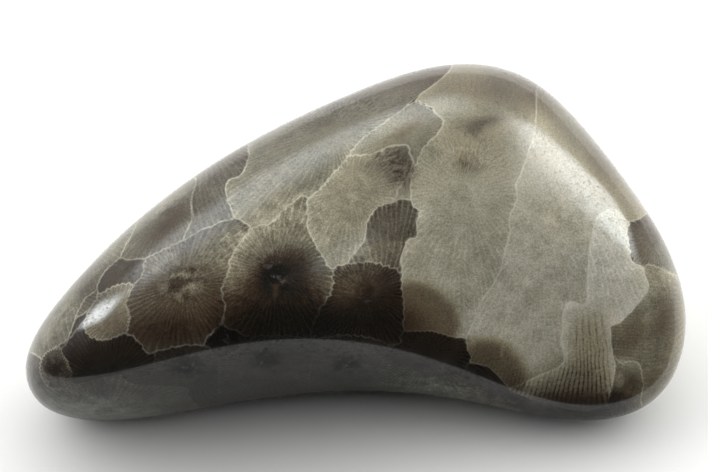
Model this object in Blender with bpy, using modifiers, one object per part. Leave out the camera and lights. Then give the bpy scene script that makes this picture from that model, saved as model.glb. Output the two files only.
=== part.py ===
"""A polished Petoskey stone: one pebble of fossil coral, solid right through, lying on its flattened underside.

The pebble is a soft form. A coarse cage of sections stands across its length, subdivision rounds it off,
and the underside is then flattened where the stone rests.
The frame has +X along the length, +Y away from the hollow side, +Z up, and its origin under the middle.
"""

from collections import namedtuple

import bmesh
import bpy

MM = 0.001

# The finished stone, over everything.
LENGTH = 75.0 * MM
DEPTH = 42.4 * MM
HEIGHT = 21.8 * MM

# One section across the stone at x, as eight cage points (y, z) in millimetres. They run round it from the
# foot of the hollow side, up its wall to the brow, over the crest, down the back and along the sole.
Section = namedtuple("Section", "x foot wall brow crest shoulder back heel sole")

SECTIONS = (
    Section(
        -36.0, foot=(-18.3, 3.2), wall=(-19.8, 7.0), brow=(-19.0, 11.0), crest=(-16.0, 12.0),
        shoulder=(-12.8, 10.5), back=(-11.8, 7.0), heel=(-12.8, 3.6), sole=(-15.8, 2.4),
    ),
    Section(
        -32.0, foot=(-19.6, 0.0), wall=(-21.7, 7.0), brow=(-20.8, 14.2), crest=(-14.5, 16.0),
        shoulder=(-8.3, 14.5), back=(-6.0, 7.5), heel=(-8.5, 1.0), sole=(-14.0, -0.5),
    ),
    Section(
        -24.0, foot=(-19.6, -1.0), wall=(-21.6, 8.0), brow=(-20.8, 17.6), crest=(-11.0, 19.7),
        shoulder=(-0.3, 18.0), back=(3.0, 9.0), heel=(-1.5, 0.5), sole=(-11.0, -1.5),
    ),
    Section(
        -13.0, foot=(-17.8, -1.2), wall=(-19.1, 9.5), brow=(-18.0, 20.4), crest=(-4.0, 21.5),
        shoulder=(7.8, 19.8), back=(11.6, 9.5), heel=(6.5, 0.5), sole=(-5.0, -1.8),
    ),
    Section(
        -1.0, foot=(-16.2, -1.2), wall=(-17.7, 9.0), brow=(-16.2, 19.0), crest=(3.0, 22.3),
        shoulder=(13.9, 20.6), back=(17.9, 10.0), heel=(12.0, 0.5), sole=(-2.0, -1.8),
    ),
    Section(
        11.0, foot=(-16.0, -1.0), wall=(-17.9, 5.2), brow=(-16.6, 12.2), crest=(5.0, 22.7),
        shoulder=(18.8, 21.4), back=(23.5, 10.5), heel=(16.0, 0.8), sole=(0.0, -1.8),
    ),
    Section(
        22.0, foot=(-18.1, -0.6), wall=(-20.8, 2.8), brow=(-18.8, 7.2), crest=(1.5, 21.3),
        shoulder=(16.3, 21.2), back=(22.5, 10.0), heel=(15.0, 1.2), sole=(-2.0, -1.5),
    ),
    Section(
        31.0, foot=(-18.5, 0.0), wall=(-21.3, 3.6), brow=(-19.3, 8.0), crest=(-5.0, 17.7),
        shoulder=(4.6, 17.2), back=(9.3, 9.0), heel=(5.0, 2.0), sole=(-5.0, -0.5),
    ),
    Section(
        36.5, foot=(-15.6, 2.5), wall=(-17.4, 6.0), brow=(-15.8, 9.8), crest=(-8.5, 12.5),
        shoulder=(-3.2, 11.5), back=(-1.4, 7.2), heel=(-3.2, 3.5), sole=(-8.5, 2.2),
    ),
)
NARROW_TIP = (-37.8, -15.6, 7.0)
BROAD_TIP = (39.2, -9.8, 7.2)

SUBDIVISIONS = 3
# Below this height in the cage the surface is flat, and it eases into the curve over as much again above it.
REST_BAND = 0.5 * MM

POLISHED_CORAL = (0.17, 0.15, 0.12, 1.0)
POLISH_ROUGHNESS = 0.2


def clear_scene():
    for thing in list(bpy.data.objects):
        bpy.data.objects.remove(thing, do_unlink=True)


def cage_mesh():
    """Rings of eight points joined along the stone, and four quads about a middle point over each tip."""
    cage = bmesh.new()
    rings = [[cage.verts.new((section.x * MM, y * MM, z * MM)) for y, z in section[1:]] for section in SECTIONS]
    around = len(rings[0])
    for near, far in zip(rings, rings[1:]):
        for i in range(around):
            j = (i + 1) % around
            cage.faces.new((near[i], near[j], far[j], far[i]))
    for ring, tip in ((rings[0], NARROW_TIP), (rings[-1], BROAD_TIP)):
        middle = cage.verts.new([value * MM for value in tip])
        for i in range(0, around, 2):
            cage.faces.new((ring[i - 1], ring[i], ring[i + 1], middle))
    bmesh.ops.recalc_face_normals(cage, faces=cage.faces)
    mesh = bpy.data.meshes.new("stone_cage")
    cage.to_mesh(mesh)
    cage.free()
    return mesh


def rounded(mesh):
    """The cage after subdivision, as a plain mesh."""
    cage = bpy.data.objects.new("stone_cage", mesh)
    bpy.context.scene.collection.objects.link(cage)
    rounding = cage.modifiers.new("rounding", "SUBSURF")
    rounding.levels = SUBDIVISIONS
    rounding.render_levels = SUBDIVISIONS
    evaluated = cage.evaluated_get(bpy.context.evaluated_depsgraph_get())
    result = bpy.data.meshes.new_from_object(evaluated)
    bpy.data.objects.remove(cage, do_unlink=True)
    return result


def rest_height(z):
    """The height of a point once the sole is flattened, with no crease round the flat."""
    if z <= -REST_BAND:
        return 0.0
    if z >= REST_BAND:
        return z
    return (z + REST_BAND) ** 2 / (4 * REST_BAND)


def fit_to_size(mesh):
    """Brings the mesh to the stone's full length, depth and height, standing on z = 0 about the origin."""
    for axis, size in enumerate((LENGTH, DEPTH, HEIGHT)):
        values = [vertex.co[axis] for vertex in mesh.vertices]
        low, high = min(values), max(values)
        start = 0.0 if axis == 2 else -size / 2
        for vertex in mesh.vertices:
            vertex.co[axis] = start + (vertex.co[axis] - low) * size / (high - low)


def polished_coral():
    material = bpy.data.materials.new("polished_coral")
    material.use_nodes = True
    surface = material.node_tree.nodes["Principled BSDF"]
    surface.inputs["Base Color"].default_value = POLISHED_CORAL
    surface.inputs["Roughness"].default_value = POLISH_ROUGHNESS
    surface.inputs["Metallic"].default_value = 0.0
    return material


def make_stone():
    mesh = rounded(cage_mesh())
    for vertex in mesh.vertices:
        vertex.co.z = rest_height(vertex.co.z)
    fit_to_size(mesh)
    mesh.shade_smooth()
    mesh.materials.append(polished_coral())
    return bpy.data.objects.new("stone", mesh)


def main():
    clear_scene()
    collection = bpy.data.collections.new("petoskey_stone")
    bpy.context.scene.collection.children.link(collection)
    collection.objects.link(make_stone())


main()
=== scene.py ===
"""A polished Petoskey stone lying on a pale sheet, seen from above and in front.

The stone's skin is one fine mesh over the frame's solid, and its pattern is the coral that it is made of.
Every corallite is a field on the skin: how far inside its outline a point lies, and where the point is
from the corallite's heart. The finish reads those fields and draws hearts, septa, fringes and pale seams
from them.
"""

import math
from collections import namedtuple

import bmesh
import bpy
import numpy as np
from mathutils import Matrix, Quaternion, Vector
from mathutils.bvhtree import BVHTree
from mathutils.kdtree import KDTree


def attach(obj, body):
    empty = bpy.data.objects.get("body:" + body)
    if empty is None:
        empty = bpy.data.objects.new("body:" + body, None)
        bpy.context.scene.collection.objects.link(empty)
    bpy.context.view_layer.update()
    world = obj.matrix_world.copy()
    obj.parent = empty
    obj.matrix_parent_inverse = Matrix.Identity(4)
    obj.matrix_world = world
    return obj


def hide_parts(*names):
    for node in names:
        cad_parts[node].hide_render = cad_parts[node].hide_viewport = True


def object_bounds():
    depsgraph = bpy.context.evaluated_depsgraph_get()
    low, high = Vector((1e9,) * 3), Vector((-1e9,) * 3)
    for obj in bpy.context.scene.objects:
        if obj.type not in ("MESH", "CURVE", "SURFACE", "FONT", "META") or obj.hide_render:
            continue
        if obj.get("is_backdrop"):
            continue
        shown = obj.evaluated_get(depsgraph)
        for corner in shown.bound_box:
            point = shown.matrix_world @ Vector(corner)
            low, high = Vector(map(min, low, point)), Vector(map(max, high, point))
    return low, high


MM = 0.001

# The camera stands in front and above, and sees the stone from above its hollow side.
PHOTO_WIDTH, PHOTO_HEIGHT = 708, 472
LENS, SENSOR = 100.0, 36.0
CAMERA_ELEVATION = math.radians(60.0)
CAMERA_AIM = Vector((-0.45, 0.07, 10.0)) * MM
CAMERA_DISTANCE = 227.8 * MM

# The skin's fineness, how far facets may turn to be joined under it, and the slight waver that hand
# polishing leaves in it, which fades out over the lowest few millimetres.
SKIN_LEVELS = 2
FACET_TURN = math.radians(40)
WAVER_DEPTH = 0.05 * MM
WAVER_FOOT = 4 * MM
WAVER_LENGTHS = ((11.0, 7.0, 9.0), (6.0, 13.0, 8.0), (8.0, 5.0, 12.0))

# Broad swells and hollows of the top, in millimetres: centre, reach to the left, right, front and back,
# and height.
Swell = namedtuple("Swell", "x y left right front back height")
SWELLS = (
    Swell(13.0, -3.0, 11.0, 14.0, 8.0, 11.0, 1.2),
    Swell(27.0, 9.0, 8.0, 8.0, 8.0, 8.0, -0.6),
    Swell(29.0, -8.0, 9.0, 8.0, 6.0, 9.0, 0.9),
)

# How far a corallite's field is followed outside and inside its outline, in millimetres.
FIELD_REACH, FIELD_DEPTH = 3.0, 6.0
# Corallites nearer than this to each other never share a layer.
LAYER_GAP = 1.2
# The corallites that the drawn ones leave uncovered stand this far apart.
WILD_SPACING = 8.6
WILD_SEED = 7
# The spans of their tone, warmth and fringe, and how dark their hearts are.
WILD_LOOKS = ((0.25, 0.62), (0.1, 0.7), (0.2, 0.8))
WILD_DARK = 0.7

Corallite = namedtuple("Corallite", "name tone warm fringe heart dark outline")


def corallite(name, tone, warm, fringe, heart, dark, *outline):
    """One corallite: its tone from black to cream, how brown and how fringed it is, the pixel of its
    heart, how dark the heart is, and the pixels of its outline. A pixel off the stone's edge lies round
    the back."""
    return Corallite(name, tone, warm, fringe, heart, dark, outline)


# Later ones lie over earlier ones, so only what shows of an outline has to be exact.
CORALLITES = (
    corallite(
        "left_flank", 0.46, 0.3, 0.2, (100, 250), 0.1,
        (121, 256), (113, 264), (103, 274), (97, 289), (86, 298), (78, 311), (72, 328), (67, 340),
        (60, 345), (52, 350), (44, 356), (38, 366), (14, 362), (18, 330), (44, 282), (82, 234),
        (120, 196), (138, 196), (139, 216), (132, 234), (125, 246),
    ),
    corallite(
        "shoulder_left", 0.43, 0.1, 0.2, (172, 208), 0.2,
        (121, 256), (127, 260), (144, 259), (161, 256), (190, 250), (194, 235), (192, 218), (191, 203),
        (193, 192), (197, 180), (190, 146), (165, 160), (137, 192), (139, 216), (132, 234),
    ),
    corallite(
        "shoulder_dark", 0.42, 0.2, 0.4, (214, 160), 0.2,
        (196, 180), (193, 192), (191, 203), (192, 218), (187, 231), (184, 244), (210, 245), (245, 230),
        (240, 210), (232, 197), (236, 180), (246, 176), (254, 159), (252, 147), (243, 120), (215, 130),
        (195, 150),
    ),
    corallite(
        "great_feather", 0.55, 0.1, 0.55, (334, 130), 0.0,
        (248, 147), (248, 159), (240, 176), (229, 179), (226, 190), (227, 200), (231, 208), (234, 218),
        (243, 223), (252, 234), (275, 234), (300, 220), (330, 200), (355, 165), (364, 142), (382, 127),
        (398, 115), (412, 102), (430, 87), (448, 73), (460, 55), (432, 52), (380, 66), (312, 92),
        (248, 124),
    ),
    corallite(
        "great_upright", 0.78, 0.3, 0.45, (462, 192), 0.15,
        (436, 112), (430, 125), (418, 147), (408, 162), (404, 188), (404, 203), (408, 230), (396, 250),
        (396, 273), (402, 290), (404, 306), (402, 333), (420, 340), (440, 342), (452, 345), (466, 342),
        (475, 331), (490, 308), (499, 293), (510, 274), (515, 250), (520, 232), (520, 218), (526, 200),
        (526, 186), (533, 168), (540, 148), (543, 136), (546, 120), (546, 99), (550, 85), (548, 70),
        (505, 52), (460, 52), (448, 73), (430, 87), (415, 100), (425, 104),
    ),
    # Its pale tone is partly a painted highlight, where the glare runs on down the right side.
    corallite(
        "right_upright", 1.02, 0.2, 0.8, (572, 190), 0.0,
        (584, 200), (592, 226), (598, 217), (615, 208), (630, 222), (632, 258), (648, 270), (648, 290),
        (634, 308), (620, 322), (611, 330), (612, 352), (615, 367), (612, 385), (609, 402), (611, 432),
        (560, 452), (525, 430), (505, 392), (520, 370), (550, 340), (560, 300), (575, 250),
    ),
    corallite(
        "great_plate", 0.89, 0.3, 0.1, (548, 214), 0.1,
        (536, 99), (536, 120), (533, 136), (530, 148), (523, 168), (516, 186), (517, 200), (509, 218),
        (510, 232), (505, 250), (499, 274), (487, 293), (479, 306), (469, 331), (465, 339), (466, 349),
        (471, 358), (467, 366), (485, 369), (498, 379), (507, 389), (513, 387), (526, 381), (544, 374),
        (560, 366), (564, 356), (560, 343), (562, 325), (563, 313), (568, 301), (585, 305), (586, 291),
        (588, 262), (592, 235), (598, 217), (615, 208), (628, 222), (640, 219), (655, 213), (666, 200),
        (652, 168), (622, 122), (592, 86), (565, 68), (546, 64), (538, 85),
    ),
    corallite(
        "right_tip", 0.50, 0.4, 0.5, (655, 238), 0.2,
        (628, 226), (640, 219), (650, 212), (668, 204), (690, 240), (694, 278), (676, 275), (660, 268),
        (645, 266), (632, 256),
    ),
    corallite(
        "right_flank", 0.61, 0.6, 0.3, (690, 300), 0.0,
        (645, 266), (660, 268), (676, 275), (692, 280), (702, 330), (690, 384), (660, 420), (625, 436),
        (608, 430), (608, 402), (612, 385), (615, 367), (612, 352), (611, 330), (620, 322), (634, 308),
        (648, 290),
    ),
    corallite(
        "right_bud", 0.60, 0.4, 0.3, (622, 381), 0.1,
        (613, 355), (621, 363), (630, 361), (638, 363), (641, 370), (643, 383), (641, 400), (640, 425),
        (610, 425), (609, 402), (612, 385), (615, 367),
    ),
    corallite(
        "brow_right", 0.20, 0.5, 0.3, (520, 400), 0.2,
        (460, 374), (466, 364), (485, 366), (498, 376), (507, 387), (514, 393), (535, 400), (562, 408),
        (590, 411), (608, 408), (612, 438), (560, 455), (500, 442), (462, 405),
    ),
    corallite(
        "brow_middle", 0.21, 0.5, 0.4, (425, 354), 0.0,
        (401, 333), (420, 331), (440, 333), (452, 337), (465, 339), (467, 349), (471, 358), (467, 366),
        (462, 376), (459, 395), (452, 430), (400, 430), (387, 392), (388, 365), (391, 352), (396, 343),
    ),
    corallite(
        "wall_right", 0.27, 0.0, 0.1, (345, 364), 0.35,
        (315, 334), (345, 332), (375, 336), (392, 352), (389, 370), (387, 392), (390, 430), (310, 430),
        (308, 385), (312, 360),
    ),
    corallite(
        "wall_middle", 0.26, 0.0, 0.1, (266, 360), 0.35,
        (218, 358), (232, 353), (247, 342), (262, 333), (290, 331), (315, 334), (312, 360), (308, 385),
        (308, 430), (225, 435), (219, 385),
    ),
    corallite(
        "wall_low", 0.33, 0.0, 0.1, (107, 412), 0.2,
        (75, 381), (92, 378), (120, 374), (143, 378), (165, 380), (187, 384), (205, 390), (222, 415),
        (220, 445), (150, 455), (80, 455), (25, 425), (8, 390), (20, 355), (40, 358), (45, 384),
        (60, 390),
    ),
    corallite(
        "wall_left", 0.25, 0.0, 0.1, (187, 367), 0.35,
        (120, 360), (147, 348), (166, 344), (186, 340), (205, 341), (209, 347), (218, 358), (219, 385),
        (216, 415), (190, 398), (187, 388), (165, 386), (143, 385), (125, 380),
    ),
    corallite(
        "brow_wedge", 0.12, 0.5, 0.3, (228, 340), 0.2,
        (203, 346), (207, 338), (214, 332), (222, 324), (234, 328), (251, 336), (248, 342), (232, 353),
        (218, 358), (209, 347),
    ),
    corallite(
        "flank_green", 0.31, 0.3, 0.3, (132, 268), 0.1,
        (97, 290), (103, 274), (113, 264), (121, 258), (127, 260), (145, 259), (150, 265), (146, 280),
        (138, 290), (122, 290), (108, 295),
    ),
    corallite(
        "brow_left", 0.2, 0.6, 0.6, (112, 376), 0.1,
        (61, 353), (67, 342), (74, 333), (83, 322), (91, 310), (101, 300), (112, 304), (128, 325),
        (145, 345), (155, 356), (150, 366), (120, 374), (92, 380), (75, 384), (72, 376), (68, 364),
    ),
    corallite(
        "hook", 0.41, 0.5, 0.8, (381, 312), 0.0,
        (345, 275), (346, 265), (353, 255), (363, 243), (366, 232), (369, 219), (377, 208), (388, 204),
        (394, 200), (404, 198), (410, 200), (414, 207), (423, 212), (416, 221), (417, 235), (409, 239),
        (404, 248), (401, 262), (400, 280), (370, 285),
    ),
    corallite(
        "light_slip", 0.66, 0.2, 0.2, (402, 138), 0.0,
        (345, 162), (350, 153), (363, 138), (382, 124), (398, 113), (411, 103), (421, 104), (434, 112),
        (443, 122), (437, 134), (424, 147), (417, 162), (413, 175), (410, 188), (411, 200), (403, 199),
        (396, 200), (388, 205), (375, 200), (355, 175),
    ),
    corallite(
        "dark_heart", 0.43, 0.5, 0.8, (276, 274), 0.5,
        (250, 228), (269, 224), (279, 215), (287, 207), (296, 200), (308, 197), (318, 212), (325, 240),
        (333, 269), (333, 283), (329, 296), (322, 306), (315, 320), (312, 338), (290, 336), (262, 336),
        (249, 337), (236, 331), (222, 324), (221, 306), (222, 294), (223, 284), (229, 271), (230, 260),
        (240, 243), (248, 232),
    ),
    corallite(
        "little_feather", 0.63, 0.4, 0.6, (352, 190), 0.0,
        (333, 270), (325, 261), (314, 242), (308, 229), (307, 213), (309, 198), (321, 189), (331, 176),
        (344, 162), (350, 156), (363, 155), (376, 153), (385, 148), (399, 145), (408, 146), (410, 155),
        (413, 162), (410, 173), (404, 181), (399, 188), (395, 198), (388, 204), (377, 208), (369, 219),
        (366, 232), (363, 243), (353, 255), (345, 265),
    ),
    corallite(
        "row_first", 0.37, 0.6, 0.7, (183, 283), 0.5,
        (145, 260), (161, 251), (184, 240), (200, 231), (219, 223), (234, 219), (243, 222), (250, 228),
        (240, 243), (230, 260), (229, 271), (223, 284), (222, 294), (225, 306), (222, 321), (216, 328),
        (207, 338), (203, 345), (186, 345), (166, 349), (148, 353), (142, 346), (136, 339), (128, 334),
        (127, 329), (129, 313), (126, 304), (130, 290), (136, 283), (143, 273),
    ),
    corallite(
        "row_third", 0.27, 0.6, 0.8, (364, 296), 0.2,
        (334, 269), (343, 265), (357, 263), (371, 262), (385, 266), (400, 272), (401, 287), (404, 306),
        (402, 333), (396, 345), (370, 338), (345, 335), (312, 338), (315, 320), (322, 306), (329, 296),
        (333, 283),
    ),
    corallite(
        "lit_bud", 0.47, 0.6, 1.0, (118, 312), 0.0,
        (84, 324), (86, 333), (95, 339), (106, 340), (118, 336), (125, 333), (128, 328), (129, 313),
        (126, 304), (130, 292), (132, 284), (122, 284), (108, 289), (96, 300), (88, 312),
    ),
    corallite(
        "tip_eye", 0.34, 0.6, 1.0, (55, 368), 0.4,
        (41, 362), (46, 353), (53, 349), (60, 348), (63, 355), (68, 364), (72, 376), (68, 384),
        (58, 388), (49, 387), (43, 380), (40, 370),
    ),
)

# Soft patches over the corallites: real stains, and painted shade, painted reflection and painted highlight
# where marked below. Their centre and half-widths in pixels, turn in degrees, how dark, how pale and how
# rusty they make the coral, how much they dull its polish and grey its colour, the grey partly a painted
# reflection, and how square-shouldered they are.
StainAndPaintedLight = namedtuple("StainAndPaintedLight", "x y wide high turn dark pale rust worn shoulder")
STAINS_AND_PAINTED_LIGHT = (
    # The row's first cell, and the crystals of its heart.
    StainAndPaintedLight(225, 246, 34, 18, -30, 0.0, 0.38, 0.0, 0.0, 3),
    StainAndPaintedLight(236, 276, 12, 22, 10, 0.0, 0.30, 0.0, 0.0, 3),
    StainAndPaintedLight(165, 262, 24, 9, -15, 0.0, 0.30, 0.0, 0.0, 3),
    StainAndPaintedLight(165, 330, 50, 16, 0, 0.42, 0.0, 0.3, 0.0, 2),
    StainAndPaintedLight(178, 308, 46, 30, 0, 0.0, 0.0, 0.5, 0.0, 2),
    StainAndPaintedLight(184, 275, 15, 3, -4, 0.0, 0.62, 0.0, 0.0, 3),
    StainAndPaintedLight(178, 286, 16, 8, -10, 0.0, 0.26, 0.0, 0.0, 3),
    StainAndPaintedLight(192, 288, 12, 5, -12, 0.0, 0.30, 0.0, 0.0, 3),
    StainAndPaintedLight(176, 296, 9, 4, 20, 0.0, 0.20, 0.0, 0.0, 3),
    # The dark-hearted cell, and its crystals.
    StainAndPaintedLight(242, 292, 18, 30, 0, 0.0, 0.0, 0.6, 0.0, 2),
    StainAndPaintedLight(278, 230, 46, 28, -30, 0.0, 0.32, 0.0, 0.0, 3),
    StainAndPaintedLight(283, 272, 28, 29, 0, 0.66, 0.0, 0.0, 0.0, 5),
    StainAndPaintedLight(272, 316, 62, 46, 4, 0.62, 0.0, 0.3, 0.0, 5),
    StainAndPaintedLight(290, 330, 64, 26, 0, 0.72, 0.0, 0.0, 0.0, 4),
    StainAndPaintedLight(284, 281, 12, 3, -30, 0.0, 0.34, 0.0, 0.0, 3),
    StainAndPaintedLight(276, 291, 3, 9, 10, 0.0, 0.26, 0.0, 0.0, 3),
    # The row's third cell.
    StainAndPaintedLight(356, 284, 22, 18, 0, 0.0, 0.0, 0.5, 0.0, 2),
    StainAndPaintedLight(366, 324, 56, 22, 0, 0.70, 0.0, 0.0, 0.0, 3),
    StainAndPaintedLight(342, 288, 16, 18, 0, 0.0, 0.12, 0.4, 0.0, 2),
    # The little feather, and the slip above it.
    StainAndPaintedLight(402, 166, 17, 25, -12, 0.42, 0.0, 0.0, 0.0, 3),
    StainAndPaintedLight(386, 160, 24, 14, -20, 0.24, 0.0, 0.0, 0.0, 2),
    StainAndPaintedLight(352, 196, 9, 3, 75, 0.0, 0.30, 0.0, 0.0, 3),
    StainAndPaintedLight(364, 178, 10, 3, 55, 0.0, 0.22, 0.0, 0.0, 3),
    StainAndPaintedLight(322, 222, 12, 26, -15, 0.0, 0.22, 0.0, 0.0, 2),
    StainAndPaintedLight(338, 248, 14, 20, -20, 0.0, 0.24, 0.0, 0.0, 2),
    StainAndPaintedLight(368, 256, 26, 15, -20, 0.0, 0.30, 0.0, 0.0, 2),
    StainAndPaintedLight(404, 131, 22, 5, -33, 0.18, 0.0, 0.6, 0.0, 2),
    StainAndPaintedLight(416, 106, 26, 12, -20, 0.24, 0.0, 0.0, 0.0, 2),
    # The great upright: the marks round its heart, its pale middle and its brown foot.
    StainAndPaintedLight(483, 122, 20, 5, -12, 0.36, 0.0, 0.0, 0.0, 2),
    StainAndPaintedLight(466, 126, 34, 22, -10, 0.14, 0.0, 0.0, 0.0, 2),
    StainAndPaintedLight(474, 131, 10, 5, -20, 0.26, 0.0, 0.0, 0.0, 3),
    StainAndPaintedLight(470, 165, 13, 8, 0, 0.28, 0.0, 0.1, 0.0, 2),
    StainAndPaintedLight(461, 160, 6, 10, 0, 0.20, 0.0, 0.4, 0.0, 2),
    StainAndPaintedLight(470, 196, 15, 13, 0, 0.0, 0.16, 0.0, 0.0, 2),
    StainAndPaintedLight(428, 150, 10, 16, 0, 0.20, 0.0, 0.0, 0.0, 2),
    StainAndPaintedLight(470, 90, 50, 12, 10, 0.20, 0.0, 0.35, 0.0, 2),
    # Painted shade over the upper, farther part of this corallite and the plate.
    StainAndPaintedLight(500, 135, 84, 54, 10, 0.20, 0.0, 0.1, 0.0, 2),
    StainAndPaintedLight(468, 285, 44, 46, 0, 0.0, 0.25, 0.0, 0.0, 2),
    StainAndPaintedLight(414, 325, 47, 43, 20, 0.53, 0.0, 0.8, 0.0, 14),
    # The great plate's pale and brown foot, and the chips in its edge.
    StainAndPaintedLight(488, 376, 40, 37, 28, 0.60, 0.0, 0.8, 0.0, 10),
    StainAndPaintedLight(536, 356, 30, 26, 0, 0.0, 0.30, 0.0, 0.0, 3),
    StainAndPaintedLight(462, 334, 7, 5, -30, 0.0, 0.45, 0.0, 0.0, 3),
    StainAndPaintedLight(466, 341, 6, 2, -50, 0.70, 0.0, 0.0, 0.0, 2),
    StainAndPaintedLight(503, 350, 2, 11, 10, 0.0, 0.40, 0.0, 0.0, 2),
    # The right upright's dark foot.
    StainAndPaintedLight(566, 402, 64, 40, -3, 0.54, 0.0, 0.3, 0.0, 5),
    StainAndPaintedLight(560, 414, 80, 24, -3, 0.72, 0.0, 0.2, 0.0, 4),
    StainAndPaintedLight(590, 346, 27, 36, 0, 0.34, 0.0, 0.4, 0.0, 3),
    # A painted highlight at the lower end of the glare on the right.
    StainAndPaintedLight(646, 292, 16, 26, 0, 0.0, 0.35, 0.0, 0.0, 3),
    # The right flank, with its tip and its bud.
    StainAndPaintedLight(664, 318, 12, 30, 10, 0.30, 0.0, 0.4, 0.0, 2),
    StainAndPaintedLight(632, 338, 12, 22, 20, 0.16, 0.0, 0.6, 0.0, 2),
    StainAndPaintedLight(652, 346, 16, 7, -20, 0.0, 0.34, 0.0, 0.0, 2),
    StainAndPaintedLight(650, 382, 14, 14, 0, 0.20, 0.0, 0.4, 0.0, 2),
    StainAndPaintedLight(640, 240, 12, 30, -10, 0.15, 0.0, 0.6, 0.0, 2),
    StainAndPaintedLight(655, 285, 22, 14, -10, 0.0, 0.30, 0.4, 0.0, 2),
    StainAndPaintedLight(628, 364, 17, 5, 8, 0.0, 0.50, 0.0, 0.0, 4),
    StainAndPaintedLight(619, 380, 6, 8, 0, 0.0, 0.42, 0.0, 0.0, 3),
    StainAndPaintedLight(632, 386, 9, 12, 0, 0.25, 0.0, 0.7, 0.0, 3),
    # The left flank and shoulder, and the bud and brow below them.
    StainAndPaintedLight(168, 224, 32, 8, -38, 0.35, 0.0, 0.4, 0.0, 2),
    StainAndPaintedLight(150, 204, 20, 10, -38, 0.0, 0.30, 0.0, 0.0, 2),
    StainAndPaintedLight(110, 325, 22, 10, -10, 0.0, 0.10, 0.5, 0.0, 2),
    StainAndPaintedLight(92, 292, 18, 22, 30, 0.30, 0.0, 0.0, 0.0, 2),
    StainAndPaintedLight(62, 318, 10, 30, 35, 0.0, 0.20, 0.0, 0.0, 2),
    # Painted shade: darker bands along the far edge.
    StainAndPaintedLight(340, 100, 120, 26, -25, 0.40, 0.0, 0.1, 0.0, 2),
    StainAndPaintedLight(574, 112, 90, 30, 52, 0.40, 0.0, 0.2, 0.0, 4),
    StainAndPaintedLight(522, 88, 44, 24, 20, 0.34, 0.0, 0.2, 0.0, 3),
    StainAndPaintedLight(628, 180, 60, 34, 58, 0.34, 0.0, 0.3, 0.0, 4),
    StainAndPaintedLight(460, 64, 90, 30, 2, 0.34, 0.0, 0.1, 0.0, 3),
    # The wall of the hollow, its polish dulled and its colour greyed, the grey partly a painted reflection
    # of the floor, and paler low down, to the right and at the left end, a painted reflection of the lit
    # floor.
    StainAndPaintedLight(130, 398, 110, 42, -8, 0.0, 0.0, 0.0, 0.6, 4),
    StainAndPaintedLight(290, 382, 120, 46, 1, 0.0, 0.0, 0.0, 0.6, 4),
    StainAndPaintedLight(440, 404, 100, 46, 18, 0.0, 0.0, 0.0, 0.6, 4),
    StainAndPaintedLight(570, 434, 90, 30, -4, 0.0, 0.0, 0.0, 0.6, 4),
    StainAndPaintedLight(470, 408, 84, 26, 18, 0.0, 0.46, 0.0, 0.0, 3),
    StainAndPaintedLight(585, 436, 86, 20, -8, 0.0, 0.46, 0.0, 0.0, 3),
    StainAndPaintedLight(100, 415, 80, 20, 10, 0.0, 0.30, 0.0, 0.0, 3),
)


class Value:
    """What one socket gives. Arithmetic on it adds the Math nodes that it takes."""

    def __init__(self, nodes, socket):
        self.nodes = nodes
        self.socket = socket

    def math(self, operation, *others):
        return self.nodes.add("ShaderNodeMath", {"operation": operation}, (self, *others))

    def __add__(self, other):
        return self.math("ADD", other)

    def __radd__(self, other):
        return self.math("ADD", other)

    def __sub__(self, other):
        return self.math("SUBTRACT", other)

    def __rsub__(self, other):
        return self.nodes.add("ShaderNodeMath", {"operation": "SUBTRACT"}, (other, self))

    def __mul__(self, other):
        return self.math("MULTIPLY", other)

    def __rmul__(self, other):
        return self.math("MULTIPLY", other)

    def __truediv__(self, other):
        return self.math("DIVIDE", other)

    def __pow__(self, power):
        return self.math("POWER", power)

    def __gt__(self, other):
        return self.math("GREATER_THAN", other)


class Nodes:
    """Adds nodes to one tree."""

    def __init__(self, tree):
        self.tree = tree

    def add(self, kind, settings=None, sockets=(), gives=0):
        """A node of a kind. Its settings come first, then the values or links of its sockets."""
        made = self.tree.nodes.new(kind)
        for name, value in (settings or {}).items():
            if name == "stops":
                self.set_stops(made.color_ramp, value)
            else:
                setattr(made, name, value)
        named = sockets.items() if isinstance(sockets, dict) else enumerate(sockets)
        for name, value in named:
            self.feed(made.inputs[name], value)
        return Value(self, made.outputs[gives])

    def set_stops(self, ramp, stops):
        while len(ramp.elements) < len(stops):
            ramp.elements.new(1.0)
        for element, (position, colour) in zip(ramp.elements, stops):
            element.position = position
            element.color = (*colour, 1.0)

    def feed(self, socket, value):
        if isinstance(value, Value):
            self.tree.links.new(value.socket, socket)
        else:
            socket.default_value = value

    def rise(self, value, low, high):
        """0 below low, 1 above high, and smooth between."""
        settings = {"interpolation_type": "SMOOTHSTEP"}
        return self.add("ShaderNodeMapRange", settings, {"Value": value, "From Min": low, "From Max": high})

    def blend(self, share, first, second):
        return self.add("ShaderNodeMix", {"data_type": "RGBA"}, {0: share, 6: first, 7: second}, gives=2)

    def tinted(self, share, colour, tint):
        """A colour multiplied by a tint, as far as the share says."""
        settings = {"data_type": "RGBA", "blend_type": "MULTIPLY"}
        return self.add("ShaderNodeMix", settings, {0: share, 6: colour, 7: tint}, gives=2)

    def blend_vectors(self, share, first, second):
        return self.add("ShaderNodeMix", {"data_type": "VECTOR"}, {0: share, 4: first, 5: second}, gives=1)

    def dot(self, first, second):
        return self.add("ShaderNodeVectorMath", {"operation": "DOT_PRODUCT"}, (first, second), gives=1)

    def split(self, vector):
        """The three parts of a vector."""
        parts = self.add("ShaderNodeSeparateXYZ", None, (vector,))
        return [Value(self, socket) for socket in parts.socket.node.outputs]

    def noise(self, place, scale, detail=2.0, roughness=0.5):
        sockets = {"Vector": place, "Scale": scale, "Detail": detail, "Roughness": roughness}
        return self.add("ShaderNodeTexNoise", None, sockets)


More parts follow.
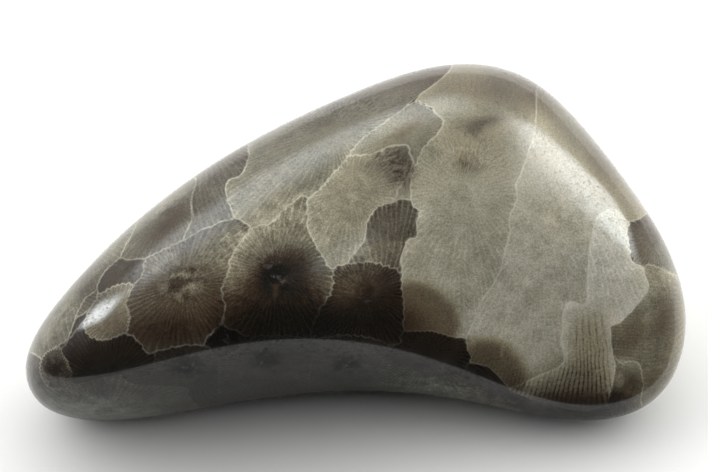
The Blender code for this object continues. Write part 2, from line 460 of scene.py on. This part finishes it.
class Lookout:
    """What the camera sees of the skin: pixels from points, and points from pixels."""

    def __init__(self, skin):
        forward = -camera_back()
        right = Vector((1.0, 0.0, 0.0))
        self.eye = CAMERA_AIM - forward * CAMERA_DISTANCE
        self.right = right
        self.up = right.cross(forward)
        self.forward = forward
        self.focal = LENS / SENSOR * PHOTO_WIDTH
        self.surface = BVHTree.FromPolygons(
            [vertex.co for vertex in skin.vertices], [tuple(face.vertices) for face in skin.polygons]
        )
        self.points, self.normals = points_of(skin)
        away = self.points - np.array(self.eye)
        self.turned = -np.sum(away * self.normals, axis=1) / np.linalg.norm(away, axis=1)
        self.pixels = self.pixels_of(self.points)
        self.edge = self.find_edge(skin)
        self.spread = self.spread_out()

    def pixels_of(self, points):
        away = points - np.array(self.eye)
        depth = away @ np.array(self.forward)
        across = away @ np.array(self.right) / depth
        above = away @ np.array(self.up) / depth
        return np.stack(
            [PHOTO_WIDTH / 2 + self.focal * across, PHOTO_HEIGHT / 2 - self.focal * above], axis=1
        )

    def find_edge(self, skin):
        """The stone's edge in the picture, for finding the nearest point of it."""
        ends = np.empty(len(skin.edges) * 2, np.int64)
        skin.edges.foreach_get("vertices", ends)
        ends = ends.reshape(-1, 2)
        first, second = self.turned[ends[:, 0]], self.turned[ends[:, 1]]
        crossing = (first > 0) != (second > 0)
        ends, first, second = ends[crossing], first[crossing], second[crossing]
        share = (first / (first - second))[:, None]
        places = self.pixels[ends[:, 0]] * (1 - share) + self.pixels[ends[:, 1]] * share
        edge = KDTree(len(places))
        for number, (x, y) in enumerate(places):
            edge.insert((x, y, 0.0), number)
        edge.balance()
        return edge

    def mirrored(self, x, y):
        """The pixel as far inside the stone's edge as this one is outside, or the reverse."""
        near = self.edge.find((x, y, 0.0))[0]
        return 2 * near.x - x, 2 * near.y - y

    def spread_out(self):
        """Each point's pixel, with the far side unrolled outward past the stone's edge."""
        spread = self.pixels.copy()
        for number in np.flatnonzero(self.turned < 0):
            spread[number] = self.mirrored(*spread[number])
        return spread

    def cast(self, x, y):
        """The skin's first and last points under a pixel, or none."""
        across = (x - PHOTO_WIDTH / 2) / self.focal
        above = (PHOTO_HEIGHT / 2 - y) / self.focal
        ray = (self.forward + self.right * across + self.up * above).normalized()
        hits = []
        start = self.eye
        while True:
            place = self.surface.ray_cast(start, ray)[0]
            if place is None:
                return hits
            hits.append(place)
            start = place + ray * 0.05 * MM

    def touch(self, x, y):
        """The skin's point under a pixel, and round the back where the pixel is off the stone."""
        hits = self.cast(x, y)
        if hits:
            return hits[0]
        hits = self.cast(*self.mirrored(x, y))
        if hits:
            return hits[-1]
        near = self.edge.find((x, y, 0.0))[0]
        middle = Vector((PHOTO_WIDTH / 2, PHOTO_HEIGHT / 2, 0.0))
        inside = near.lerp(middle, 0.02)
        return self.cast(inside.x, inside.y)[-1]


def camera_back():
    """From what the camera looks at towards the camera."""
    return Vector((0.0, -math.cos(CAMERA_ELEVATION), math.sin(CAMERA_ELEVATION)))


def points_of(mesh):
    count = len(mesh.vertices)
    points = np.empty(count * 3)
    normals = np.empty(count * 3)
    mesh.vertices.foreach_get("co", points)
    mesh.vertices.foreach_get("normal", normals)
    return points.reshape(-1, 3), normals.reshape(-1, 3)


def stone_skin(node):
    """A fine smooth mesh over the frame's solid."""
    skin = bmesh.new()
    skin.from_mesh(node.data)
    bmesh.ops.remove_doubles(skin, verts=skin.verts, dist=0.001 * MM)
    bmesh.ops.join_triangles(
        skin, faces=skin.faces, angle_face_threshold=FACET_TURN, angle_shape_threshold=FACET_TURN
    )
    mesh = bpy.data.meshes.new("stone_skin")
    skin.to_mesh(mesh)
    skin.free()
    rough = bpy.data.objects.new("stone_skin", mesh)
    bpy.context.scene.collection.objects.link(rough)
    rounding = rough.modifiers.new("rounding", "SUBSURF")
    rounding.levels = rounding.render_levels = SKIN_LEVELS
    evaluated = rough.evaluated_get(bpy.context.evaluated_depsgraph_get())
    fine = bpy.data.meshes.new_from_object(evaluated)
    bpy.data.objects.remove(rough, do_unlink=True)
    swell_top(fine)
    waver(fine)
    fine.shade_smooth()
    piece = bpy.data.objects.new("polished_stone", fine)
    bpy.context.scene.collection.objects.link(piece)
    return piece


def swell_top(mesh):
    """Raises and sinks broad parts of the top, which the solid has evenly rounded."""
    points, normals = points_of(mesh)
    lift = np.zeros(len(points))
    for swell in SWELLS:
        x, y = points[:, 0] / MM - swell.x, points[:, 1] / MM - swell.y
        across = x / np.where(x < 0, swell.left, swell.right)
        along = y / np.where(y < 0, swell.front, swell.back)
        lift += swell.height * MM * np.exp(-across ** 2 - along ** 2)
    points += normals * (lift * np.clip(normals[:, 2], 0.0, 1.0))[:, None]
    mesh.vertices.foreach_set("co", points.ravel())
    mesh.update()


def waver(mesh):
    """Slow, shallow swells along the surface's normals, fading out towards the sole."""
    points, normals = points_of(mesh)
    swell = np.zeros(len(points))
    for number, lengths in enumerate(WAVER_LENGTHS):
        phases = points / (np.array(lengths) * MM) + number
        swell += np.sin(phases[:, 0] + np.sin(phases[:, 1])) * np.cos(phases[:, 2] + phases[:, 1])
    lift = np.clip(points[:, 2] / WAVER_FOOT, 0.0, 1.0)
    points -= normals * (WAVER_DEPTH * (0.5 + 0.25 * swell) * lift)[:, None]
    mesh.vertices.foreach_set("co", points.ravel())
    mesh.update()


def rounded_outline(outline, steps=5):
    """A closed outline with a smooth curve through its points."""
    corners = np.array(outline, float)
    before, after, beyond = (np.roll(corners, shift, axis=0) for shift in (1, -1, -2))
    runs = []
    for step in range(steps):
        t = step / steps
        runs.append(
            0.5 * (
                2 * corners + (after - before) * t + (2 * before - 5 * corners + 4 * after - beyond) * t * t
                + (3 * corners - before - 3 * after + beyond) * t ** 3
            )
        )
    return np.stack(runs, axis=1).reshape(-1, 2)


def inside_outline(places, outline):
    """True for the places inside a closed outline."""
    within = np.zeros(len(places), bool)
    x, y = places[:, 0], places[:, 1]
    for (x0, y0), (x1, y1) in zip(outline, np.roll(outline, -1, axis=0)):
        if y0 != y1:
            crosses = (y > min(y0, y1)) & (y <= max(y0, y1))
            within ^= crosses & (x < x0 + (y - y0) * (x1 - x0) / (y1 - y0))
    return within


def distance_to_line(points, line):
    """From each point to a closed line through space."""
    nearest = np.full(len(points), np.inf)
    for start, end in zip(line, np.roll(line, -1, axis=0)):
        run = end - start
        length = max(run @ run, 1e-12)
        share = np.clip((points - start) @ run / length, 0.0, 1.0)
        nearest = np.minimum(nearest, np.linalg.norm(points - start - share[:, None] * run, axis=1))
    return nearest


def drawn_field(lookout, drawn, points):
    """How far inside a drawn corallite each point lies, in millimetres. Outside is negative."""
    outline = rounded_outline(drawn.outline)
    line = np.array([lookout.touch(x, y) for x, y in outline]) / MM
    low, high = line.min(axis=0) - FIELD_REACH, line.max(axis=0) + FIELD_REACH
    near = np.all((points > low) & (points < high), axis=1)
    field = np.full(len(points), -FIELD_REACH)
    gap = distance_to_line(points[near], line)
    sign = np.where(inside_outline(lookout.spread[near], outline), 1.0, -1.0)
    field[near] = np.clip(gap * sign, -FIELD_REACH, FIELD_DEPTH)
    return field


def wild_hearts(points, rng):
    """Hearts of the other corallites, scattered over the stone no nearer each other than their spacing."""
    hearts = []
    for number in rng.permutation(len(points)):
        place = points[number]
        if all(np.linalg.norm(place - other) > WILD_SPACING for other in hearts):
            hearts.append(place)
    return np.array(hearts)


def wild_fields(points, hearts):
    """How far inside its own border each point is, for every scattered corallite."""
    gaps = np.stack([np.linalg.norm(points - heart, axis=1) for heart in hearts])
    order = np.sort(gaps, axis=0)
    nearest_other = np.where(gaps == order[0], order[1], order[0])
    return np.clip((nearest_other - gaps) / 2, -FIELD_REACH, FIELD_DEPTH)


def layers_for(fields):
    """A layer number for each corallite, so that neighbours are on different layers."""
    close = (fields > -LAYER_GAP).astype(np.float32)
    touching = close @ close.T > 0
    layers = np.full(len(fields), -1)
    for number in np.argsort(-touching.sum(axis=1), kind="stable"):
        taken = set(layers[touching[number]])
        layers[number] = next(layer for layer in range(len(fields)) if layer not in taken)
    return layers


def from_heart(points, normals, heart):
    """Where points are from a corallite's heart, along two directions in the skin there."""
    nearest = int(np.argmin(np.linalg.norm(points - heart, axis=1)))
    out = normals[nearest]
    across = np.array((1.0, 0.0, 0.0)) - out * out[0]
    across /= np.linalg.norm(across)
    along = np.cross(out, across)
    away = points - heart
    flat = np.stack([away @ across, away @ along], axis=1)
    stretch = np.linalg.norm(away, axis=1) / np.maximum(np.linalg.norm(flat, axis=1), 1e-6)
    return flat * np.minimum(stretch, 3.0)[:, None]


def stain_and_light_field(spread):
    """How dark, how pale, how rusty and how dulled and greyed the stains, painted shade, painted reflection
    and painted highlight make each point.
    """
    clean = np.ones((len(spread), 4))
    for stain in STAINS_AND_PAINTED_LIGHT:
        turn = math.radians(stain.turn)
        x, y = spread[:, 0] - stain.x, spread[:, 1] - stain.y
        along = (x * math.cos(turn) + y * math.sin(turn)) / stain.wide
        over = (y * math.cos(turn) - x * math.sin(turn)) / stain.high
        cover = np.exp(-np.hypot(along, over) ** stain.shoulder)
        clean *= 1 - cover[:, None] * np.array((stain.dark, stain.pale, stain.rust, stain.worn))
    return 1 - clean


def put_attribute(mesh, name, kind, values):
    attribute = mesh.attributes.new(name, kind, "POINT")
    slot = {"FLOAT_VECTOR": "vector", "FLOAT_COLOR": "color", "FLOAT": "value"}[kind]
    attribute.data.foreach_set(slot, np.ascontiguousarray(values, np.float32).ravel())


def lay_corallites(piece):
    """Writes the corallites' fields on the skin, and returns how many layers they take."""
    mesh = piece.data
    lookout = Lookout(mesh)
    points, normals = lookout.points / MM, lookout.normals
    rng = np.random.default_rng(WILD_SEED)
    wild = wild_hearts(points, rng)
    fields = [*wild_fields(points, wild), *(drawn_field(lookout, drawn, points) for drawn in CORALLITES)]
    hearts = [*wild, *(np.array(lookout.touch(*drawn.heart)) / MM for drawn in CORALLITES)]
    looks = [
        *((*(rng.uniform(*span) for span in WILD_LOOKS), WILD_DARK) for _ in wild),
        *((drawn.tone, drawn.warm, drawn.fringe, drawn.dark) for drawn in CORALLITES),
    ]
    covered = np.full(len(points), -FIELD_REACH)
    for number in reversed(range(len(fields))):
        own = fields[number]
        fields[number] = np.minimum(own, -covered)
        if number >= len(wild):
            covered = np.maximum(covered, own)
    fields = np.array(fields)
    layers = layers_for(fields)
    places = np.stack([from_heart(points, normals, heart) for heart in hearts])
    everyone = np.arange(len(points))
    for layer in range(layers.max() + 1):
        members = np.flatnonzero(layers == layer)
        winner = members[np.argmax(fields[members], axis=0)]
        values = np.column_stack([places[winner, everyone], fields[winner, everyone]])
        put_attribute(mesh, f"corallite_{layer}", "FLOAT_VECTOR", values)
        put_attribute(mesh, f"look_{layer}", "FLOAT_COLOR", np.array(looks)[winner])
    # Stains, painted shade, painted reflection and painted highlight, as one colour attribute.
    put_attribute(mesh, "stain", "FLOAT_COLOR", stain_and_light_field(lookout.spread))
    return int(layers.max()) + 1


# The coral's unevenness, from slow drifts to fine grain: each noise's cells per metre, detail and
# roughness.
DRIFT, WOBBLE = (170.0, 1.0, 0.5), (520.0, 2.0, 0.5)
MOTTLE, GRAIN = (1300.0, 3.0, 0.65), (5200.0, 2.0, 0.6)
SEAM_GAPS, FLECKS, PITS = (330.0, 2.0, 0.6), (1300.0, 3.0, 0.7), (3600.0, 2.0, 0.7)
Unevenness = namedtuple("Unevenness", "drift wobble mottle grain")

# The lobes round a corallite's border, its septa, and the radii in millimetres over which finer septa
# take over.
LOBES, SEPTA = 16, 32
FINER_SEPTA = ((64, 2.0, 4.0), (128, 7.0, 10.5), (256, 14.0, 19.0))

# The coral's colours, against its tone as a share of the palest tone.
PALEST_TONE = 1.25
CORAL_TONES = (
    (0.0, (0.004, 0.0035, 0.002)),
    (0.08, (0.0065, 0.006, 0.0037)),
    (0.176, (0.022, 0.0145, 0.0095)),
    (0.264, (0.050, 0.038, 0.025)),
    (0.344, (0.095, 0.086, 0.063)),
    (0.44, (0.156, 0.146, 0.106)),
    (0.528, (0.235, 0.222, 0.158)),
    (0.64, (0.340, 0.325, 0.250)),
    (0.80, (0.520, 0.505, 0.420)),
    (1.0, (0.740, 0.725, 0.640)),
)
# Dark patches pull the tone to the first of these, and pale ones to the second: stains, and painted shade,
# painted reflection and painted highlight.
STAIN_AND_SHADE_DARK, STAIN_AND_SHEEN_PALE = 0.07, 0.80
# The second tint greys the dulled wall, a painted grey reflection of the floor.
RUSTY_TINT, GREY_SHEEN_TINT = (1.12, 0.94, 0.76, 1.0), (0.90, 0.98, 0.84, 1.0)
SEAM_CREAM, CRYSTAL_GREY = (0.62, 0.60, 0.48, 1.0), (0.20, 0.20, 0.19, 1.0)

# The stone under the polish, the polish, and how deep its finest relief is.
STONE_IOR, STONE_SPECULAR = 1.5, 0.08
POLISH_IOR, POLISH_ROUGHNESS = 1.6, 0.10
RELIEF_DEPTH = 0.008 * MM


class Cell:
    """The corallite that shows at each point, as the values that the finish draws it from."""

    def __init__(self, nodes, layer_count, uneven):
        depth = None
        for layer in range(layer_count):
            own = nodes.add("ShaderNodeAttribute", {"attribute_name": f"corallite_{layer}"}, gives=1)
            look = nodes.add("ShaderNodeAttribute", {"attribute_name": f"look_{layer}"})
            dark = Value(nodes, look.socket.node.outputs[3])
            field = self.frayed(nodes, own, look, uneven)
            if depth is None:
                depth, spot, tint, eye = field, own, look, dark
                runner_up = field * 0 - 9
            else:
                wins = field > depth
                runner_up = runner_up.math("MAXIMUM", field.math("MINIMUM", depth))
                depth = depth.math("MAXIMUM", field)
                spot = nodes.blend_vectors(wins, spot, own)
                tint = nodes.blend(wins, tint, look)
                eye = eye + (dark - eye) * wins
        across, along, _ = nodes.split(spot)
        self.tone, self.warm, self.fringe = nodes.split(tint)
        self.eye = eye
        self.seam = (depth - runner_up) * 0.5
        self.radius = (across * across + along * along).math("SQRT")
        waver = (uneven.drift * 1.3 + uneven.wobble * 0.3) / (self.radius + 1.5)
        self.angle = along.math("ARCTAN2", across) + waver

    def frayed(self, nodes, own, look, uneven):
        """How far inside its border a corallite is, with the border lobed and frayed."""
        across, along, field = nodes.split(own)
        angle = along.math("ARCTAN2", across) + uneven.wobble * 0.25
        fringe = nodes.split(look)[2]
        lobes = (angle * LOBES).math("SINE").math("ABSOLUTE") - 0.6
        lobes = lobes * (fringe * 0.32 + 0.06) * (uneven.wobble * 2 + 1)
        return field + lobes + uneven.wobble * 0.3 + uneven.mottle * 0.14


def septa_of(nodes, cell):
    """The septa and the streaks between them, and the coarse and fine streaks alone. All lie about zero."""
    septa = (cell.angle * SEPTA).math("COSINE")
    for number, first, last in FINER_SEPTA:
        finer = (cell.angle * number + number * 0.02).math("COSINE")
        septa = septa + (finer - septa) * nodes.rise(cell.radius, first, last)
    septa = ((septa * 0.5 + 0.5) ** 2.5 - 0.36) * 2.4
    ray = nodes.add("ShaderNodeCombineXYZ", None, (cell.angle * 20, cell.radius * 1.1, cell.tone * 9))
    streak = nodes.noise(ray, 1.0, 2.0, 0.6) - 0.5
    fine_ray = nodes.add("ShaderNodeCombineXYZ", None, (cell.angle * 46, cell.radius * 3.2, cell.tone * 9))
    fine_streak = nodes.noise(fine_ray, 1.0, 2.0, 0.6) - 0.5
    comb = septa * (streak * 2.0 + 0.45) * nodes.rise(cell.radius, 1.2, 3.6)
    return comb + streak * 1.0 + fine_streak * 2.0, streak, fine_streak


def ragged_stains_and_light(nodes, cell, uneven, septa):
    """How dark, pale, rusty, dulled and greyed the stains, painted shade, painted reflection and painted
    highlight are, with the dark and pale ones ragged at their edges.
    """
    comb, streak, fine_streak = septa
    stain = nodes.add("ShaderNodeAttribute", {"attribute_name": "stain"}, gives=1)
    worn = Value(nodes, stain.socket.node.outputs[3])
    dark, pale, rust = nodes.split(stain)
    fringe = cell.fringe
    far = nodes.rise(cell.radius, 5.0, 9.0)
    ragged = (streak * 2.6 + fine_streak * 2.4) * (fringe + 0.2) * (1 - far)
    ragged = ragged + comb * (fringe * fringe * (far * 0.45 + 0.35) + 0.05)
    ragged = ragged + (uneven.mottle * 1.6 + uneven.wobble * 1.8) * (1 - far * 0.72)
    dark = (dark + ragged * dark * (1 - dark) * 1.9).math("MAXIMUM", 0.0)
    blotched = uneven.mottle * 3.0 + uneven.wobble * 1.4
    pale = (pale + blotched * pale * (1 - pale)).math("MAXIMUM", 0.0)
    return dark, pale, rust, worn


def polished_coral(layer_count):
    """The stone's finish."""
    material = bpy.data.materials.new("polished_coral")
    material.use_nodes = True
    tree = material.node_tree
    surface = tree.nodes["Principled BSDF"]
    nodes = Nodes(tree)
    place = nodes.add("ShaderNodeTexCoord", gives=3)
    uneven = Unevenness(*(nodes.noise(place, *kind) - 0.5 for kind in (DRIFT, WOBBLE, MOTTLE, GRAIN)))
    drift, wobble, mottle, grain = uneven
    cell = Cell(nodes, layer_count, uneven)
    fringe, eye, seam = cell.fringe, cell.eye, cell.seam
    septa = septa_of(nodes, cell)
    comb = septa[0]
    dark, pale, rust, worn = ragged_stains_and_light(nodes, cell, uneven, septa)

    heart = 1 - nodes.rise(cell.radius + mottle * 2.5 + wobble * 2, 0.4, eye * 2.0 + 1.6)
    rim = 1 - nodes.rise(seam, 0.0, 1.3)
    # Dark patches pull the tone down, as stains and as painted shade; pale ones pull it up, as stains and
    # as painted reflection and highlight.
    tone = cell.tone + (STAIN_AND_SHADE_DARK - cell.tone) * dark
    tone = tone + (STAIN_AND_SHEEN_PALE - tone) * pale
    tone = tone - heart * eye * 0.28
    tone = tone + comb * (fringe * 0.056 + 0.024 + rim * 0.02 + dark * 0.02)
    tone = tone + rim * fringe * nodes.rise(tone, 0.35, 0.6) * 0.12
    tone = tone + (drift * 0.2 + wobble * 0.4 + mottle * 0.34 + grain * 0.6) * (tone * 0.9 + 0.06)

    colour = nodes.add("ShaderNodeValToRGB", {"stops": CORAL_TONES}, (tone / PALEST_TONE,))
    # Dulled places lose their colour towards grey, a painted grey reflection of the floor.
    grey_sheen_settings = {"Saturation": 1 - worn, "Value": 1.0, "Color": colour}
    colour = nodes.add("ShaderNodeHueSaturation", None, grey_sheen_settings)
    colour = nodes.tinted(worn, colour, GREY_SHEEN_TINT)
    warmth = (cell.warm * 0.35 + rust + drift * 0.7 + wobble * 0.3) * (1 - worn) * (1 - pale)
    colour = nodes.tinted(warmth, colour, RUSTY_TINT)
    flecks = nodes.rise(nodes.noise(place, *FLECKS), 0.53, 0.66) * heart * eye
    colour = nodes.blend(flecks * 0.6, colour, CRYSTAL_GREY)
    broken = nodes.rise(nodes.noise(place, *SEAM_GAPS), 0.36, 0.60)
    line = (1 - nodes.rise(seam + mottle * 0.16, 0.02, 0.17)) * (broken * 0.40 + 0.26)
    line = line * (1 - dark * 0.9) * (1 - nodes.rise(worn, 0.05, 0.4) * 0.9)
    line = line * (tone + 0.08).math("MINIMUM", 1.0)
    nodes.feed(surface.inputs["Base Color"], nodes.blend(line, colour, SEAM_CREAM))

    pits = nodes.rise(nodes.noise(place, *PITS), 0.38, 0.46)
    polish = (pits * 0.6 + 0.34 + mottle * 0.5) * (1 - worn) * (1 - heart * eye)
    surface.inputs["IOR"].default_value = STONE_IOR
    surface.inputs["Specular IOR Level"].default_value = STONE_SPECULAR
    surface.inputs["Coat Roughness"].default_value = POLISH_ROUGHNESS
    surface.inputs["Coat IOR"].default_value = POLISH_IOR
    nodes.feed(surface.inputs["Coat Weight"], polish)
    nodes.feed(surface.inputs["Roughness"], mottle * 0.3 + 0.34)
    relief = {"Strength": 0.5, "Distance": RELIEF_DEPTH, "Height": grain + comb * 0.3}
    nodes.feed(surface.inputs["Normal"], nodes.add("ShaderNodeBump", None, relief))
    return material


# The studio: soft panels far off, on the far side of the stone, in an otherwise dim room. A panel's azimuth
# goes from the back towards +X, and its turn tilts its long side up towards +X. All are in degrees.
Panel = namedtuple("Panel", "azimuth elevation turn wide high edge strength")
PANELS = (
    Panel(65.0, 51.5, 32.0, 44.0, 26.0, 13.0, 7.3),
    Panel(-22.0, 47.0, 0.0, 44.0, 17.0, 12.0, 3.0),
    Panel(-67.0, 39.0, 0.0, 11.0, 12.0, 6.0, 13.0),
)
# How much of the panels' light the floor and the stone's body take, beside what the polish mirrors.
PANEL_SPILL = 0.04
# A low, wide cove of soft light behind the stone: its strength, the sines between which it fades upward
# and forward, and how much of it the polish mirrors.
COVE_STRENGTH = 4.9
COVE_TOP = (0.3, 1.15)
COVE_ENDS = (-0.48, 0.42)
COVE_GLOSS = 0.11
ROOM_GLOW = 0.045
MATTE_TINT, GLOSS_TINT = (0.99, 0.995, 0.99, 1.0), (0.945, 1.0, 1.035, 1.0)
BACKDROP = 1.1


def studio():
    """The room's light, in which only a plain pale backdrop is seen directly."""
    world = bpy.data.worlds.new("studio")
    world.use_nodes = True
    bpy.context.scene.world = world
    tree = world.node_tree
    nodes = Nodes(tree)
    direction = nodes.add("ShaderNodeTexCoord")
    glow = None
    for panel in PANELS:
        lit = panel_light(nodes, direction, panel)
        glow = lit if glow is None else glow + lit
    _, back, height = nodes.split(direction)
    cove = (1 - nodes.rise(height, *COVE_TOP)) * nodes.rise(back, *COVE_ENDS) * COVE_STRENGTH
    seen = nodes.add("ShaderNodeLightPath")
    mirrored = Value(nodes, seen.socket.node.outputs["Is Glossy Ray"])
    matte = glow * PANEL_SPILL + cove
    glossy = glow + cove * COVE_GLOSS + ROOM_GLOW
    glow = matte + (glossy - matte) * mirrored
    background = tree.nodes["Background"]
    nodes.feed(background.inputs["Strength"], glow + (BACKDROP - glow) * seen)
    nodes.feed(background.inputs["Color"], nodes.blend(mirrored, MATTE_TINT, GLOSS_TINT))


def panel_light(nodes, direction, panel):
    """The light of one panel: even over its face, and fading across its edge."""
    azimuth, elevation = math.radians(panel.azimuth), math.radians(panel.elevation)
    level = math.cos(elevation)
    towards = Vector((math.sin(azimuth) * level, math.cos(azimuth) * level, math.sin(elevation)))
    right = towards.cross(Vector((0.0, 0.0, 1.0))).normalized()
    right.rotate(Quaternion(towards, -math.radians(panel.turn)))
    up = right.cross(towards)
    ahead = nodes.dot(direction, tuple(towards))
    edge = math.tan(math.radians(panel.edge))
    light = ahead > 0
    for axis, angle in ((right, panel.wide), (up, panel.high)):
        half = math.tan(math.radians(angle / 2))
        off = (nodes.dot(direction, tuple(axis)) / ahead).math("ABSOLUTE")
        light = light * (1 - nodes.rise(off, half - edge / 2, half + edge / 2))
    return light * panel.strength


def pale_floor():
    bpy.ops.mesh.primitive_plane_add(size=4.0)
    floor = bpy.context.object
    floor.name = "pale_floor"
    material = bpy.data.materials.new("pale_sheet")
    material.use_nodes = True
    surface = material.node_tree.nodes["Principled BSDF"]
    surface.inputs["Base Color"].default_value = (0.90, 0.90, 0.89, 1.0)
    surface.inputs["Roughness"].default_value = 0.9
    surface.inputs["Specular IOR Level"].default_value = 0.1
    floor.data.materials.append(material)
    floor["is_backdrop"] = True


def set_camera():
    camera = bpy.data.objects.new("camera", bpy.data.cameras.new("camera"))
    bpy.context.scene.collection.objects.link(camera)
    camera.data.lens = LENS
    camera.data.sensor_width = SENSOR
    camera.data.clip_start = 10 * MM
    camera.location = CAMERA_AIM + camera_back() * CAMERA_DISTANCE
    camera.rotation_euler = camera_back().to_track_quat("Z", "Y").to_euler()
    bpy.context.scene.camera = camera


def write_sizes(cad_box):
    """The CAD box and the visual model's box, as plain lists."""
    boxes = {"cad": cad_box, "visual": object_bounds()}
    boxes = {name: [list(corner) for corner in box] for name, box in boxes.items()}


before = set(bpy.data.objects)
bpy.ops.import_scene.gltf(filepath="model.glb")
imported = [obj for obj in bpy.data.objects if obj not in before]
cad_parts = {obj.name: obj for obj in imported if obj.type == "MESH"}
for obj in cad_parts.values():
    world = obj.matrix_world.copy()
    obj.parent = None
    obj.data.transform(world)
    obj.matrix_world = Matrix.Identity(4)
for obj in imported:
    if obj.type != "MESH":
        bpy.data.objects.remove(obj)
cad_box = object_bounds()
bpy.context.scene.view_settings.view_transform = "Standard"
set_camera()
studio()
pale_floor()
stone = stone_skin(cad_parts["stone"])
layer_count = lay_corallites(stone)
stone.data.materials.clear()
stone.data.materials.append(polished_coral(layer_count))
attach(stone, "root")
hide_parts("stone")
write_sizes(cad_box)
